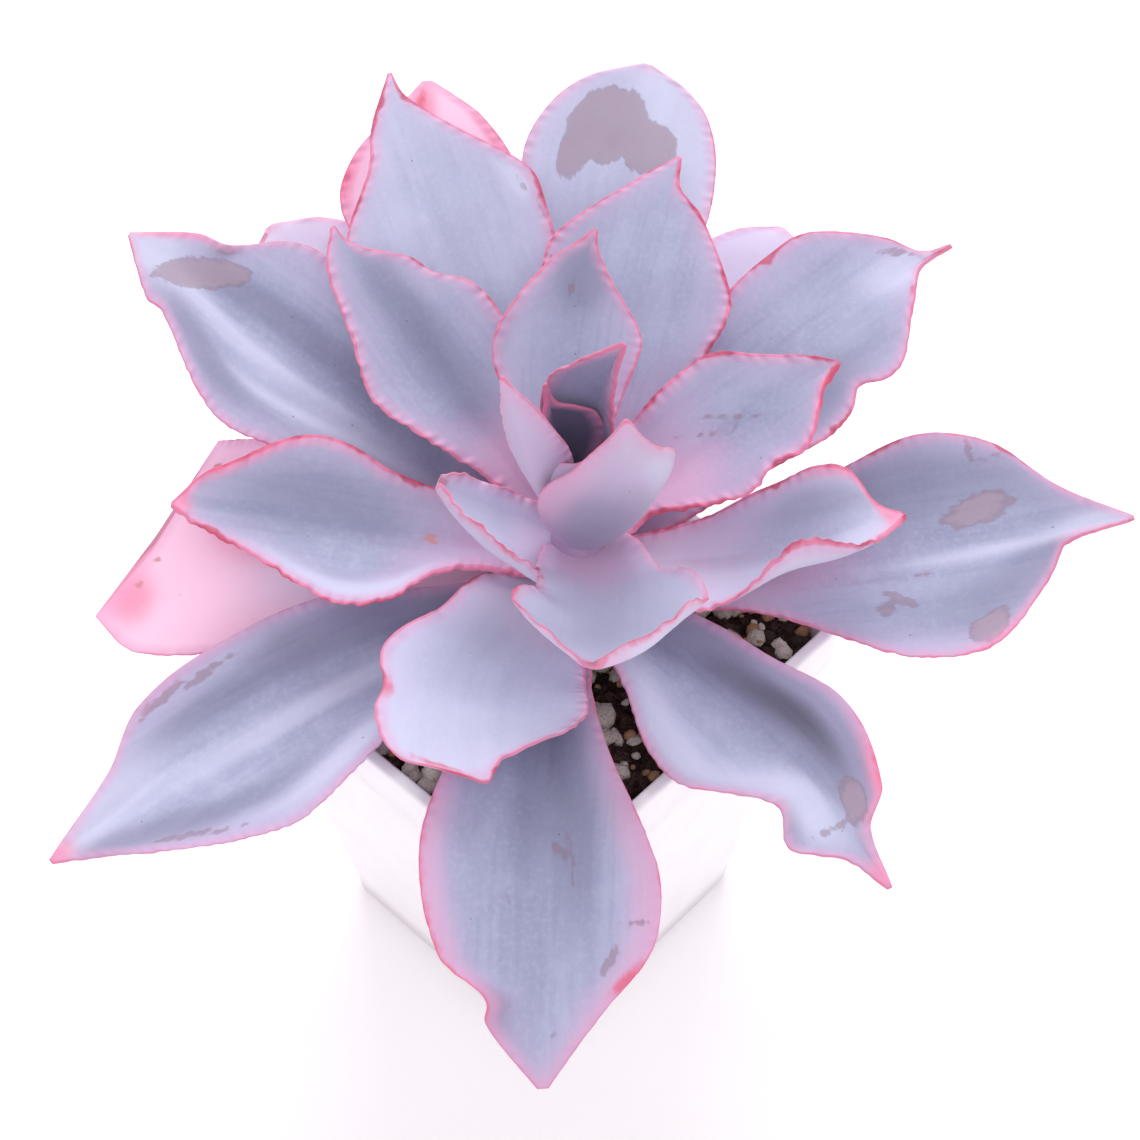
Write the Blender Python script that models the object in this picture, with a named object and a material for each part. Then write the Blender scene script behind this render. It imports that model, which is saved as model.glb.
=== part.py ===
"""A potted rosette succulent: a tapered square pot, its soil, pumice, a short stem and the leaves.

World frame in metres: +Z up, origin at the middle of the pot's underside, pot sides along X and Y.
Leaves are written in the stem's own frame: millimetres and degrees, heights along the leaning stem
from the soil, azimuths about it.
"""

import math

import bmesh
import bpy
import numpy as np
from mathutils import Matrix, Vector

MM = 0.001

# Pot: moulded square nursery pot, sizes across the flats.
POT_HEIGHT = 100 * MM
RIM_WIDTH = 100 * MM
FOOT_WIDTH = 71 * MM
COLLAR_HEIGHT = 11 * MM
COLLAR_STEP = 1.2 * MM
LIP_WIDTH = 3.0 * MM
EDGE = 0.8 * MM
WALL = 2.2 * MM
FLOOR = 3.0 * MM
RIM_CORNER_RADIUS = 9 * MM
FOOT_CORNER_RADIUS = 7 * MM
CORNER_STEPS = 5
DRAIN_RADIUS = 4 * MM
DRAIN_OFFSET = 17 * MM
DRAIN_SIDES = 12

# Soil: fills the pot to just under the rim and rises a little round the stem.
SOIL_LEVEL = 93.5 * MM
SOIL_MOUND = 1.8 * MM
MOUND_REACH = (0.25, 0.5, 0.8, 1.0)
MOUND_SHARE = (1.0, 0.9, 0.6, 0.0)
GAP = 0.3 * MM

# Stem: leans a little from upright; leaves clasp it from just above the soil to its top.
STEM_FOOT = Vector((0.0009, 0.0120, 0.094))
STEM_LEAN = math.radians(15)
STEM_LEAN_AZIMUTH = math.radians(-40)
STEM_DEPTH = 18 * MM
STEM_RADIUS = 5.6 * MM
STEM_TOP = 50 * MM
STEM_SIDES = 14
STEM_SCARS = 5
SCAR_SWELLING = 0.25 * MM
# Above the last scar: height below the top and radius of the shoulder, the neck and the growing tip.
STEM_SHOULDER = 6 * MM
STEM_NECK_RADIUS = 3.0 * MM
STEM_TIP_RADIUS = 1.4 * MM

# Pumice on the soil: x, y and size in millimetres, turn in degrees. Grains lie flat and are angular.
PUMICE_FLATNESS = 0.72
PUMICE_ANGULARITY = 0.14
PUMICE = [
    (27.5, -28.0, 6.4, 20),
    (32.0, -19.5, 5.2, 75),
    (36.5, -30.5, 7.0, 140),
    (20.0, -35.5, 5.0, 200),
    (-24.0, -38.0, 5.6, 260),
    (39.0, 8.0, 4.8, 310),
    (-38.5, -12.5, 5.4, 35),
]

# Leaf grid of the solids: stations along a leaf and strips across it.
ALONG = 12
ACROSS = 6
LEAF_THICKNESS = 2.6
MARGIN_THICKNESS = 0.15

# What a leaf has unless its own entry says otherwise.
#   azimuth, rise: where the chord from base to tip points       length: of that chord
#   height: of the base along the stem    start: its distance from the stem's axis
#   arch, sway: how far the spine leaves its chord, upwards and to the left, per unit length
#   width: at its widest, which is at fraction `widest` of the length; foot: base width over that
#   belly, taper: roundness and sharpness of the outline beyond the widest place
#   skew: left half wider than the right one
#   cup_foot, cup_tip: half angle of the arc that the cross-section follows      roll: about the spine
#   ruffle, waves, phase: height, number and place of the waves along the margins
#   folds: (side, place, spread, lift, pull) of single folds of the margin, +1 being the left one
PLAIN_LEAF = dict(
    azimuth=0, rise=0, length=100, height=10, start=6.5, arch=0, sway=0, width=44, widest=0.6,
    foot=0.25, belly=2.0, taper=1.2, skew=0, cup_foot=30, cup_tip=15, roll=0,
    ruffle=0.6, waves=3, phase=0, folds=(),
)

# The rosette from its lowest leaf to the bud, in four tiers.
LEAVES = {
    "outer_leaf_1": dict(
        azimuth=108, rise=8, length=102, height=2.8, width=40, widest=0.7, belly=2.2, taper=0.6,
    ),
    "outer_leaf_2": dict(
        azimuth=176, rise=12, length=110, height=4.2, width=40, widest=0.7, foot=0.22, taper=0.8,
    ),
    "outer_leaf_3": dict(
        azimuth=149, rise=15, length=126, height=7.2, width=38, widest=0.72, sway=0.03, belly=2.3,
        taper=0.8,
    ),
    "outer_leaf_4": dict(
        azimuth=-134, length=101, height=8.5, width=46, widest=0.74, sway=-0.02, skew=-0.25,
        belly=3, taper=0.9,
    ),
    "outer_leaf_5": dict(
        azimuth=49, rise=8, length=117, height=8, width=52, foot=0.22, sway=-0.02, belly=2.6,
        taper=1.35,
    ),
    "outer_leaf_6": dict(
        azimuth=125, rise=17, length=120, height=10.5, widest=0.68, foot=0.22, sway=0.02, belly=2.2,
        taper=0.5,
    ),
    "outer_leaf_7": dict(
        azimuth=-50, rise=4, length=103, height=12, width=48, widest=0.62, foot=0.22, arch=0.1,
        sway=-0.03, belly=2.2, taper=1.1, folds=((-1, 0.84, 0.05, 3, 2.5),),
    ),
    "outer_leaf_8": dict(
        azimuth=-172, rise=15, length=120, height=13, widest=0.62, foot=0.22, sway=-0.035,
        belly=2.2, taper=1.1,
    ),
    "outer_leaf_9": dict(
        azimuth=-105, rise=3, length=117, height=15, widest=0.5, sway=-0.05, taper=1.3, cup_foot=40,
        cup_tip=20,
    ),
    "outer_leaf_10": dict(
        azimuth=-6, rise=6, length=88, height=16, width=39, widest=0.54, foot=0.28, sway=0.06,
        folds=((-1, 0.74, 0.1, 4, 5),),
    ),
    "outer_leaf_11": dict(
        azimuth=85, rise=14, length=107, height=15, width=42, widest=0.62, sway=0.065,
    ),
    "outer_leaf_12": dict(
        azimuth=155, rise=18, length=117, height=18, width=49, widest=0.62, foot=0.22,
    ),
    "middle_leaf_1": dict(azimuth=119, rise=19, length=90, height=22, width=42, widest=0.58, foot=0.26),
    "middle_leaf_2": dict(
        azimuth=-65, rise=20, length=53, height=20, start=8, width=45, widest=0.64, foot=0.3,
        sway=-0.16, belly=2.4, taper=1,
    ),
    "middle_leaf_3": dict(
        azimuth=-140, rise=9, length=79, height=24, width=38, widest=0.55, foot=0.3, cup_tip=30,
    ),
    "middle_leaf_4": dict(
        azimuth=50, rise=9, length=64, height=24, width=34, widest=0.62, foot=0.35, sway=-0.05,
        folds=((-1, 0.72, 0.13, 5, 2),),
    ),
    "middle_leaf_5": dict(azimuth=172, rise=19, length=83, height=27, width=35, foot=0.3),
    "middle_leaf_6": dict(azimuth=76, rise=21, length=62, height=29, width=32, foot=0.4, sway=0.02),
    "inner_leaf_1": dict(
        azimuth=-42, rise=33, length=35, height=31, start=7, width=36, foot=0.4, sway=0.1,
        belly=2.6, taper=0.8,
    ),
    "inner_leaf_2": dict(
        azimuth=130, rise=33, length=59, height=35, width=31, widest=0.5, foot=0.4, sway=0.07,
    ),
    "inner_leaf_3": dict(
        azimuth=-148, rise=26, length=28, height=34, width=20, widest=0.35, foot=0.8, belly=2.4,
        taper=0.8, cup_foot=20, cup_tip=20,
    ),
    "heart_leaf_1": dict(
        azimuth=-8, rise=84, length=51, height=38, start=9.2, width=25, widest=0.4, foot=0.6,
        arch=-0.05, taper=1.1, cup_foot=60, cup_tip=50, roll=-25,
    ),
    "heart_leaf_2": dict(
        azimuth=-140, rise=81, length=57, height=39, start=8.2, width=14, widest=0.42, foot=0.35,
        cup_foot=60, cup_tip=40, roll=75,
    ),
    "heart_leaf_3": dict(
        azimuth=98, rise=81, length=52, height=41, start=7.5, width=18, widest=0.5, foot=0.3,
        cup_foot=60, cup_tip=45,
    ),
    "heart_leaf_4": dict(
        azimuth=156, rise=75, length=31, height=45, start=3.5, width=12, widest=0.55, foot=0.4,
        taper=1, cup_foot=60, cup_tip=50,
    ),
    "heart_leaf_5": dict(
        azimuth=-45, rise=100, length=21, height=44, start=4, width=11, widest=0.5, foot=0.6,
        taper=0.8, cup_foot=60, cup_tip=50,
    ),
}


def clear_scene():
    for obj in list(bpy.data.objects):
        bpy.data.objects.remove(obj, do_unlink=True)


def material(name, colour, roughness, metallic=0.0):
    made = bpy.data.materials.new(name)
    made.use_nodes = True
    shader = made.node_tree.nodes["Principled BSDF"]
    shader.inputs["Base Color"].default_value = (*colour, 1)
    shader.inputs["Roughness"].default_value = roughness
    shader.inputs["Metallic"].default_value = metallic
    return made


def add_object(name, mesh_maker, finish):
    """Makes an object from a bmesh, with every face pointing out."""
    bmesh.ops.recalc_face_normals(mesh_maker, faces=mesh_maker.faces)
    if mesh_maker.calc_volume(signed=True) < 0:
        bmesh.ops.reverse_faces(mesh_maker, faces=mesh_maker.faces)
    mesh = bpy.data.meshes.new(name)
    mesh_maker.to_mesh(mesh)
    mesh_maker.free()
    mesh.materials.append(finish)
    mesh.shade_smooth()
    mesh.set_sharp_from_angle(angle=math.radians(40))
    obj = bpy.data.objects.new(name, mesh)
    bpy.context.collection.objects.link(obj)
    return obj


def skin_rings(rings, close_start=True, close_end=True):
    """A bmesh with quads between rings of points, and a face over each closed end."""
    shell = bmesh.new()
    loops = [[shell.verts.new(point) for point in ring] for ring in rings]
    for lower, upper in zip(loops, loops[1:]):
        for k in range(len(lower)):
            after = (k + 1) % len(lower)
            shell.faces.new((lower[k], lower[after], upper[after], upper[k]))
    if close_start:
        shell.faces.new(loops[0])
    if close_end:
        shell.faces.new(loops[-1])
    return shell


def rounded_square(width, radius, z):
    """Points of a square with round corners, in order round the pot."""
    points = []
    reach = width / 2 - radius
    for corner, (side_x, side_y) in enumerate(((1, 1), (-1, 1), (-1, -1), (1, -1))):
        for step in range(CORNER_STEPS + 1):
            angle = math.radians(90) * (corner + step / CORNER_STEPS)
            x = side_x * reach + radius * math.cos(angle)
            y = side_y * reach + radius * math.sin(angle)
            points.append((x, y, z))
    return points


def outside_at(z):
    """Width and corner radius of the pot's outer wall at a height, below the collar's step."""
    share = z / POT_HEIGHT
    width = FOOT_WIDTH + (RIM_WIDTH - 2 * COLLAR_STEP - FOOT_WIDTH) * share
    return width, FOOT_CORNER_RADIUS + (RIM_CORNER_RADIUS - FOOT_CORNER_RADIUS) * share


def inside_at(z, clearance=0.0):
    """Width and corner radius of the pot's inner wall, less a clearance on each side."""
    width, radius = outside_at(z)
    inset = WALL + clearance
    return width - 2 * inset, radius - inset


def cutter(name, mesh_maker):
    helper = add_object(name, mesh_maker, bpy.data.materials["pot"])
    helper.hide_render = True
    helper.display_type = "WIRE"
    return helper


def cut(obj, helper):
    boolean = obj.modifiers.new("cut by " + helper.name, "BOOLEAN")
    boolean.operation = "DIFFERENCE"
    boolean.object = helper


def make_pot():
    """Tapered wall with a thicker collar at the rim, a flat lip and a floor with drain holes."""
    collar_foot = POT_HEIGHT - COLLAR_HEIGHT
    width, radius = outside_at(0)
    rings = [rounded_square(width - 2 * EDGE, radius - EDGE, 0)]
    for z in (EDGE, collar_foot - COLLAR_STEP):
        rings.append(rounded_square(*outside_at(z), z))
    rings.append(rounded_square(RIM_WIDTH - 2 * EDGE, RIM_CORNER_RADIUS, collar_foot))
    rings.append(rounded_square(RIM_WIDTH, RIM_CORNER_RADIUS, POT_HEIGHT - EDGE))
    rings.append(rounded_square(RIM_WIDTH - 2 * EDGE, RIM_CORNER_RADIUS - EDGE, POT_HEIGHT))
    lip_inside = RIM_WIDTH - 2 * LIP_WIDTH
    lip_radius = RIM_CORNER_RADIUS - LIP_WIDTH
    rings.append(rounded_square(lip_inside + 2 * EDGE, lip_radius + EDGE, POT_HEIGHT))
    rings.append(rounded_square(lip_inside, lip_radius, POT_HEIGHT - EDGE))
    for z in (collar_foot, FLOOR):
        rings.append(rounded_square(*inside_at(z), z))
    pot = add_object("pot", skin_rings(rings), bpy.data.materials["pot"])
    for number, (side_x, side_y) in enumerate(((1, 1), (-1, 1), (-1, -1), (1, -1))):
        drill = bmesh.new()
        at = Matrix.Translation((side_x * DRAIN_OFFSET, side_y * DRAIN_OFFSET, FLOOR / 2))
        bmesh.ops.create_cone(
            drill,
            cap_ends=True,
            segments=DRAIN_SIDES,
            radius1=DRAIN_RADIUS,
            radius2=DRAIN_RADIUS,
            depth=3 * FLOOR,
            matrix=at,
        )
        cut(pot, cutter(f"drain_drill_{number + 1}", drill))


def stem_frame():
    """Matrix from the stem's frame, in metres, to the world."""
    axis = Vector((-math.sin(STEM_LEAN_AZIMUTH), math.cos(STEM_LEAN_AZIMUTH), 0))
    return Matrix.Translation(STEM_FOOT) @ Matrix.Rotation(STEM_LEAN, 4, axis)


def stem_rings(grow=0.0):
    """The stem's outline: a root end, rings that swell at each leaf scar, then a blunt growing tip."""
    stations = [(-STEM_DEPTH - grow, 0.7 * STEM_RADIUS + grow)]
    lowest = -STEM_SHOULDER
    highest = STEM_TOP - 2 * STEM_SHOULDER
    for step in range(2 * STEM_SCARS + 1):
        swelling = SCAR_SWELLING if step % 2 else 0.0
        height = lowest + (highest - lowest) * step / (2 * STEM_SCARS)
        stations.append((height, STEM_RADIUS + swelling + grow))
    stations.append((STEM_TOP - STEM_SHOULDER, STEM_NECK_RADIUS + grow))
    stations.append((STEM_TOP + grow, STEM_TIP_RADIUS + grow))
    place = stem_frame()
    rings = []
    for height, radius in stations:
        ring = []
        for side in range(STEM_SIDES):
            turn = 2 * math.pi * side / STEM_SIDES
            ring.append(place @ Vector((radius * math.cos(turn), radius * math.sin(turn), height)))
        rings.append(ring)
    return rings


def make_stem():
    add_object("stem", skin_rings(stem_rings()), bpy.data.materials["stem"])


def make_soil():
    """The soil block: the pot's inside less the gap, with a low mound, and a socket for the stem."""
    bottom = FLOOR + GAP
    top = SOIL_LEVEL
    rings = [rounded_square(*inside_at(z, GAP), z) for z in (bottom, 0.5 * (bottom + top), top)]
    width, radius = inside_at(top, GAP)
    for reach, share in zip(MOUND_REACH[-2::-1], MOUND_SHARE[-2::-1]):
        rings.append(rounded_square(width * reach, radius * reach, top + SOIL_MOUND * share))
    soil = add_object("soil", skin_rings(rings), bpy.data.materials["soil"])
    cut(soil, cutter("stem_socket", skin_rings(stem_rings(GAP))))


def soil_surface(x, y):
    """Height of the soil at a place: the mound falls off from the pot's middle to its walls."""
    width = inside_at(SOIL_LEVEL, GAP)[0]
    away = max(abs(x), abs(y)) / (width / 2)
    return SOIL_LEVEL + SOIL_MOUND * float(np.interp(away, MOUND_REACH, MOUND_SHARE))


def make_pumice():
    """Angular grains: an icosphere whose corners are pushed in and out by a fixed pattern."""
    for number, (x, y, size, turn) in enumerate(PUMICE):
        grain = bmesh.new()
        bmesh.ops.create_icosphere(grain, subdivisions=1, radius=size * MM / 2)
        for vert in grain.verts:
            vert.co *= 1 + PUMICE_ANGULARITY * math.sin(5 * vert.index + turn)
            vert.co.z *= PUMICE_FLATNESS
        grain.transform(Matrix.Rotation(math.radians(turn), 4, "Z"))
        lowest = min(vert.co.z for vert in grain.verts)
        spot = Vector((x * MM, y * MM, soil_surface(x * MM, y * MM) + GAP - lowest))
        grain.transform(Matrix.Translation(spot))
        add_object(f"pumice_{number + 1}", grain, bpy.data.materials["pumice"])


def leaf_surface(leaf, u, v):
    """Points of the leaf's middle surface, u from base to tip and v from right margin to left.

    The spine is the chord plus a parabola upwards (arch) and one sideways (sway). Across it the
    surface follows a circular arc of half angle `cup`, whose half width rises as a raised cosine to
    the widest place and falls as (1 - q ** belly) ** taper beyond it. Waves and folds lift the margins.
    """
    turn, rise = math.radians(leaf["azimuth"]), math.radians(leaf["rise"])
    chord = np.array((math.cos(rise) * math.cos(turn), math.cos(rise) * math.sin(turn), math.sin(rise)))
    upward = np.array((-math.sin(rise) * math.cos(turn), -math.sin(rise) * math.sin(turn), math.cos(rise)))
    leftward = np.array((-math.sin(turn), math.cos(turn), 0.0))
    base = np.array((leaf["start"] * math.cos(turn), leaf["start"] * math.sin(turn), leaf["height"]))
    bend = upward * leaf["arch"] + leftward * leaf["sway"]
    along = u[..., None]
    spine = base + leaf["length"] * (chord * along + bend * 4 * along * (1 - along))
    tangent = chord + bend * 4 * (1 - 2 * along)
    tangent /= np.linalg.norm(tangent, axis=-1, keepdims=True)
    side = leftward - tangent * (tangent @ leftward)[..., None]
    side /= np.linalg.norm(side, axis=-1, keepdims=True)
    normal = np.cross(tangent, side)
    roll = math.radians(leaf["roll"])
    rolled = side * math.cos(roll) + normal * math.sin(roll)
    normal = normal * math.cos(roll) - side * math.sin(roll)
    side = rolled

    widest = leaf["widest"]
    rising = leaf["foot"] + (1 - leaf["foot"]) * (0.5 - 0.5 * np.cos(np.pi * np.clip(u / widest, 0, 1)))
    falling = (1 - np.clip((u - widest) / (1 - widest), 0, 1) ** leaf["belly"]) ** leaf["taper"]
    half = leaf["width"] / 2 * np.where(u < widest, rising, falling) * (1 + leaf["skew"] * np.sign(v))
    cup = np.radians(leaf["cup_foot"] + (leaf["cup_tip"] - leaf["cup_foot"]) * u)
    across = half * np.sin(cup * v) / cup
    lift = half * (1 - np.cos(cup * v)) / cup
    swing = np.sin(2 * np.pi * (leaf["waves"] * u + leaf["phase"] + 0.3 * np.sign(v)))
    lift = lift + leaf["ruffle"] * v**4 * swing * np.sin(np.pi * u)
    for margin, place, spread, height, pull in leaf["folds"]:
        weight = np.exp(-(((u - place) / spread) ** 2)) * np.clip(v * margin, 0, 1) ** 2.5
        lift = lift + height * weight
        across = across - margin * pull * weight
    return spine + side * across[..., None] + normal * lift[..., None]


def leaf_rings(leaf):
    """Closed sections of the leaf: its middle surface moved half the thickness each way."""
    strips = np.sin(np.linspace(-1, 1, ACROSS + 1) * np.pi / 2)
    u, v = np.meshgrid(np.linspace(0, 0.99, ALONG + 1), strips, indexing="ij")
    step = 0.001
    middle = leaf_surface(leaf, u, v)
    lengthwise = leaf_surface(leaf, u + step, v) - leaf_surface(leaf, np.maximum(u - step, 0), v)
    crosswise = leaf_surface(leaf, u, v + step) - leaf_surface(leaf, u, v - step)
    normal = np.cross(lengthwise, crosswise)
    normal /= np.linalg.norm(normal, axis=-1, keepdims=True)
    thickness = LEAF_THICKNESS * min(1, leaf["width"] / 40) * (1 - 0.55 * u) * (1 - 0.72 * v**2)
    thickness += MARGIN_THICKNESS
    offset = normal * thickness[..., None] / 2
    return np.concatenate([middle + offset, (middle - offset)[:, ::-1]], axis=1)


def make_leaves():
    place = stem_frame()
    for name, own in LEAVES.items():
        sections = leaf_rings({**PLAIN_LEAF, **own}) * MM
        rings = [[place @ Vector(point) for point in ring] for ring in sections]
        shell = skin_rings(rings, close_start=False, close_end=False)
        shell.verts.ensure_lookup_table()
        count = 2 * (ACROSS + 1)
        for first in (0, ALONG * count):
            for k in range(ACROSS):
                corners = (k, k + 1, count - 2 - k, count - 1 - k)
                shell.faces.new([shell.verts[first + corner] for corner in corners])
        add_object(name, shell, bpy.data.materials["leaf"])


def main():
    clear_scene()
    material("pot", (0.87, 0.87, 0.86), 0.42)
    material("soil", (0.060, 0.036, 0.024), 0.95)
    material("pumice", (0.62, 0.58, 0.53), 0.9)
    material("stem", (0.30, 0.27, 0.17), 0.7)
    material("leaf", (0.42, 0.44, 0.66), 0.55)
    make_pot()
    make_soil()
    make_stem()
    make_pumice()
    make_leaves()


main()
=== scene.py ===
# Looks of a potted rosette succulent: powdery leaves with crinkled pink margins on a short leaning stem,
# in a white square pot with dark soil and pumice. Lengths of pieces are in millimetres until they
# are put into a mesh, and the frame is in metres: +Z up, origin in the middle of the pot's underside.

import math

import bpy
import numpy as np
from mathutils import Matrix, Vector


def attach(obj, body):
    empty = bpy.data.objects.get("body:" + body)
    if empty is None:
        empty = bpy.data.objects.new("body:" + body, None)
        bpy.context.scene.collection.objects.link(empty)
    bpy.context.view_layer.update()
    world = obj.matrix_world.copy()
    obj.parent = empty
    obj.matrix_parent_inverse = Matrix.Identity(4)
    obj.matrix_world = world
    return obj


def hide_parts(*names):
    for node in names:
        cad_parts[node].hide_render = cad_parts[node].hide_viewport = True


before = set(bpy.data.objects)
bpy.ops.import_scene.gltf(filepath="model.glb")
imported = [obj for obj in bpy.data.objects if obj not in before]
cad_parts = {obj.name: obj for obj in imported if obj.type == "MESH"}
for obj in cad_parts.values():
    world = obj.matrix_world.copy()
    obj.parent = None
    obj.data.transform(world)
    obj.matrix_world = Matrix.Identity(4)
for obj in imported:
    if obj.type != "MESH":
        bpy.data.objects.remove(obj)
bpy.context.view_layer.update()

mm = 0.001


def linear(hexColour):
    # sRGB hex to linear RGBA, with the sRGB curve undone channel by channel
    parts = [int(hexColour[k : k + 2], 16) / 255 for k in (1, 3, 5)]
    return tuple(c / 12.92 if c <= 0.04045 else ((c + 0.055) / 1.055) ** 2.4 for c in parts) + (1.0,)


def addNode(tree, kind, inputs=None, **settings):
    # one shader node with its settings; an input is a value or another node's output
    node = tree.nodes.new("ShaderNode" + kind)
    for name, value in settings.items():
        setattr(node, name, value)
    for socket, value in (inputs or {}).items():
        if isinstance(value, bpy.types.NodeSocket):
            tree.links.new(value, node.inputs[socket])
        else:
            node.inputs[socket].default_value = value
    return node


def newMaterial(name):
    # an empty node material: the tree, its Principled shader and a link to the output
    made = bpy.data.materials.new(name)
    made.use_nodes = True
    made.node_tree.nodes.clear()
    shader = addNode(made.node_tree, "BsdfPrincipled")
    addNode(made.node_tree, "OutputMaterial", {"Surface": shader.outputs[0]})
    return made, made.node_tree, shader


def gridFaces(rows, columns):
    # quads of a grid of rings: each point, its neighbour round the ring, and the two beyond them
    row, column = np.meshgrid(np.arange(rows - 1), np.arange(columns), indexing="ij")
    after = (column + 1) % columns
    here, beyond = row * columns, (row + 1) * columns
    return np.stack((here + column, here + after, beyond + after, beyond + column), axis=-1).reshape(-1, 4)


def closedRings(rows, count):
    # faces of a grid of rings, plus a fan at each end onto the two poles that follow the last ring
    around = np.arange(count)
    after = (around + 1) % count
    firstPole, lastPole = rows * count, rows * count + 1
    end = (rows - 1) * count
    opening = np.stack([np.full(count, firstPole), after, around], axis=-1)
    closing = np.stack([np.full(count, lastPole), end + around, end + after], axis=-1)
    return gridFaces(rows, count).tolist() + opening.tolist() + closing.tolist()


def addPiece(name, points, faces, finish, stands=(), attributes=None, smooth=True):
    # a mesh object from points in millimetres; attributes are one number or one vector for each point
    mesh = bpy.data.meshes.new(name)
    mesh.from_pydata((points * mm).tolist(), [], [list(face) for face in faces])
    for key, values in (attributes or {}).items():
        kind = "FLOAT" if values.ndim == 1 else "FLOAT_VECTOR"
        layer = mesh.attributes.new(key, kind, "POINT")
        layer.data.foreach_set("value" if values.ndim == 1 else "vector", values.astype(np.float32).ravel())
    mesh.polygons.foreach_set("use_smooth", np.full(len(mesh.polygons), smooth))
    mesh.materials.append(finish)
    mesh.update()
    piece = bpy.data.objects.new(name, mesh)
    bpy.context.scene.collection.objects.link(piece)
    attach(piece, "root")
    if stands:
        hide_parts(*stands)
    return piece


# The short stem: where its foot stands, and how far and which way it leans.
stem = dict(foot=(0.9, 12.0, 94.0), lean=15, leanAzimuth=-40, radius=5.6, depth=18, top=50)

# What a leaf has unless its own entry says otherwise, in degrees and millimetres.
#   azimuth, rise: direction of the chord from base to tip      length: of that chord
#   height, start: of the base along the stem and out from its axis
#   arch, sway: how far the spine leaves its chord upwards and to the left, per unit length
#   left, right: half widths as (place along the leaf, millimetres), with a smooth curve through them
#   cupFoot, cupTip: half angle of the arc across the leaf      channel: depth of the groove along it
#   roll, twist: about the spine, everywhere and growing from base to tip
#   ruffle, waves, phase: long waves of the margins      crinkle: height of their fine waves
#   folds: (side, place, spread, lift, pull) of single folds of a margin, +1 being the left one
#   hookUp, hookSide, hookFrom: how far the end bends, and from where
#   blush, pale, tone: how far the pink reaches from the base, how bleached, and -2 dark to 1 light,
#     where dark and light are partly the leaf's own colour and partly painted shade and painted light
#   slant: how much further the left margin runs than the right one, per unit length
#   redness: of the margin line
#   marksAndShading: (place, across, length, breadth, turn) of each mark of a kind, an oval on the flat
#       leaf;
#     bruise, flush and rust have ragged sharp edges, and dark, light, glow and hot fade out; the dark and
#     light ones are painted shade and painted light, partly the leaf's own colour
plainLeaf = dict(
    azimuth=0, rise=0, length=100, height=10, start=6.5, arch=0, sway=0, cupFoot=30, cupTip=15,
    channel=0.7, roll=0, twist=0, ruffle=0.6, waves=3, phase=0, crinkle=0.15, folds=(), hookUp=0,
    hookSide=0, hookFrom=0.9, blush=0.3, pale=0, tone=0, redness=0.4, slant=0, marksAndShading={},
)

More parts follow.
